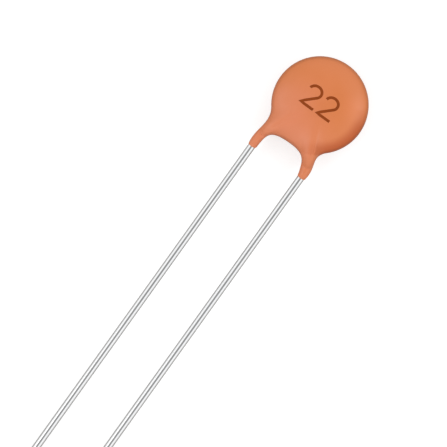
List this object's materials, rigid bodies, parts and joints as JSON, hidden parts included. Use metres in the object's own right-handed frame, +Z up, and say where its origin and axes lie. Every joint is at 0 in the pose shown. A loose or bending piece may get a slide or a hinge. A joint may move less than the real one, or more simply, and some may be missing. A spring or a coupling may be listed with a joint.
{
  "type": "ceramic disc capacitor",
  "caption": "Small dipped ceramic disc capacitor with an orange-brown resin coat, a plain value marking and two straight tinned leads.",
  "frame": {"origin": "middle of the bounding box, on the table that the part lies on", "axes": "+Y along the leads, from their cut ends towards the disc; +Z up, out of the marked front face; +X to the right with the front face up and the leads towards the viewer"},
  "size_m": [0.005, 0.0312, 0.002],
  "materials": {
    "coating": "satin dipped resin",
    "ceramic": "fired, matt",
    "silver": "fired silver film, matt",
    "tinned_wire": "bright tin plate",
    "solder": "frozen solder, satin"
  },
  "bodies": {
    "root": {"coating": "coating", "ceramic_disc": "ceramic", "front_electrode": "silver", "rear_electrode": "silver", "front_lead": "tinned_wire", "rear_lead": "tinned_wire", "front_solder": "solder", "rear_solder": "solder"}
  },
  "joints": []
}
